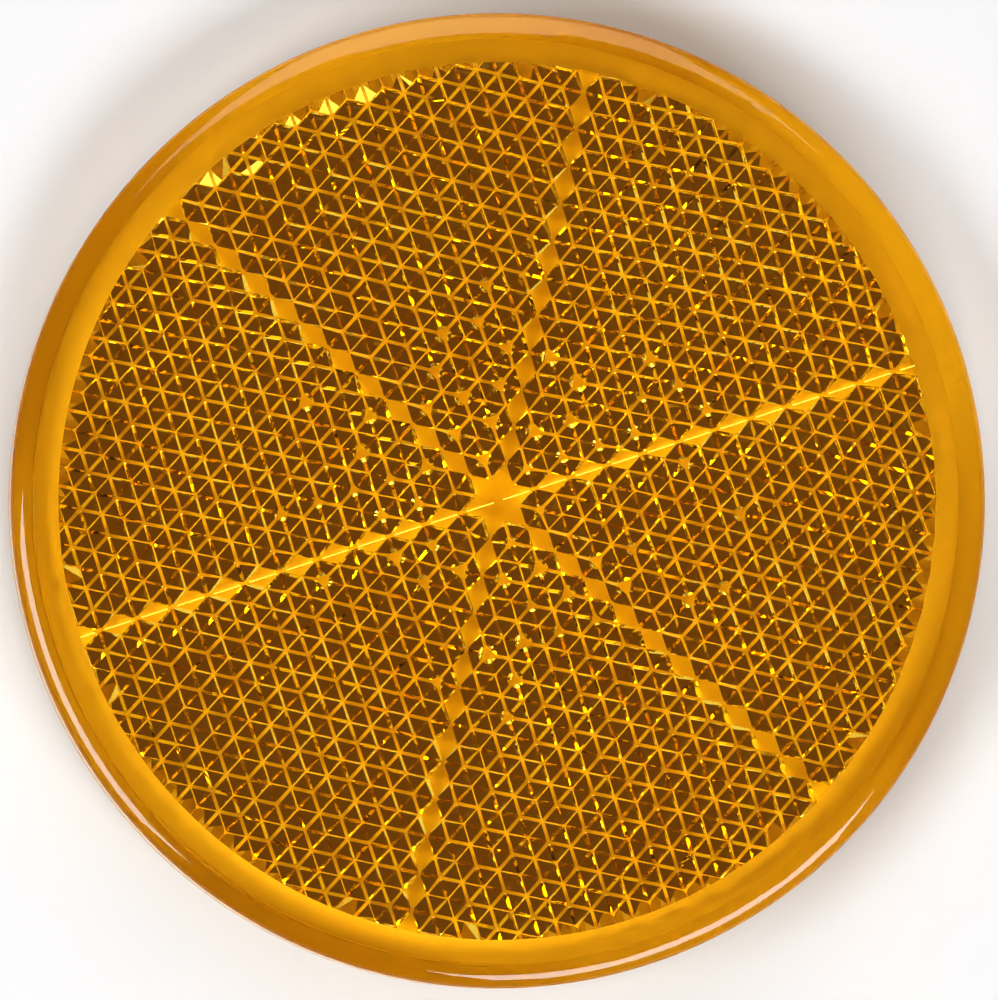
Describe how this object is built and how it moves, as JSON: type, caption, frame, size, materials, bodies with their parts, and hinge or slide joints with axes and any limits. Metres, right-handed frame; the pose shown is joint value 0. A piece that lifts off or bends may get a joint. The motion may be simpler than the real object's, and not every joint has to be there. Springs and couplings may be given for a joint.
{
  "type": "self-adhesive reflector",
  "caption": "Round amber reflector with a flat front, cube-corner prisms in six sectors behind it, a welded back plate and a foam adhesive pad.",
  "frame": {"origin": "centre of the liner's outer face, the lowest face of the part", "axes": "+Z out of the front of the lens; +X along one of the seams between prism sectors"},
  "size_m": [0.06, 0.06, 0.0065],
  "materials": {
    "amber_lens": "clear amber acrylic, polished",
    "white_plate": "moulded, fine matt",
    "white_foam": "closed-cell foam, die cut",
    "liner_paper": "siliconised paper, slight sheen"
  },
  "bodies": {
    "root": {"lens": "amber_lens", "back_plate": "white_plate", "adhesive_pad": "white_foam", "release_liner": "liner_paper"}
  },
  "joints": []
}
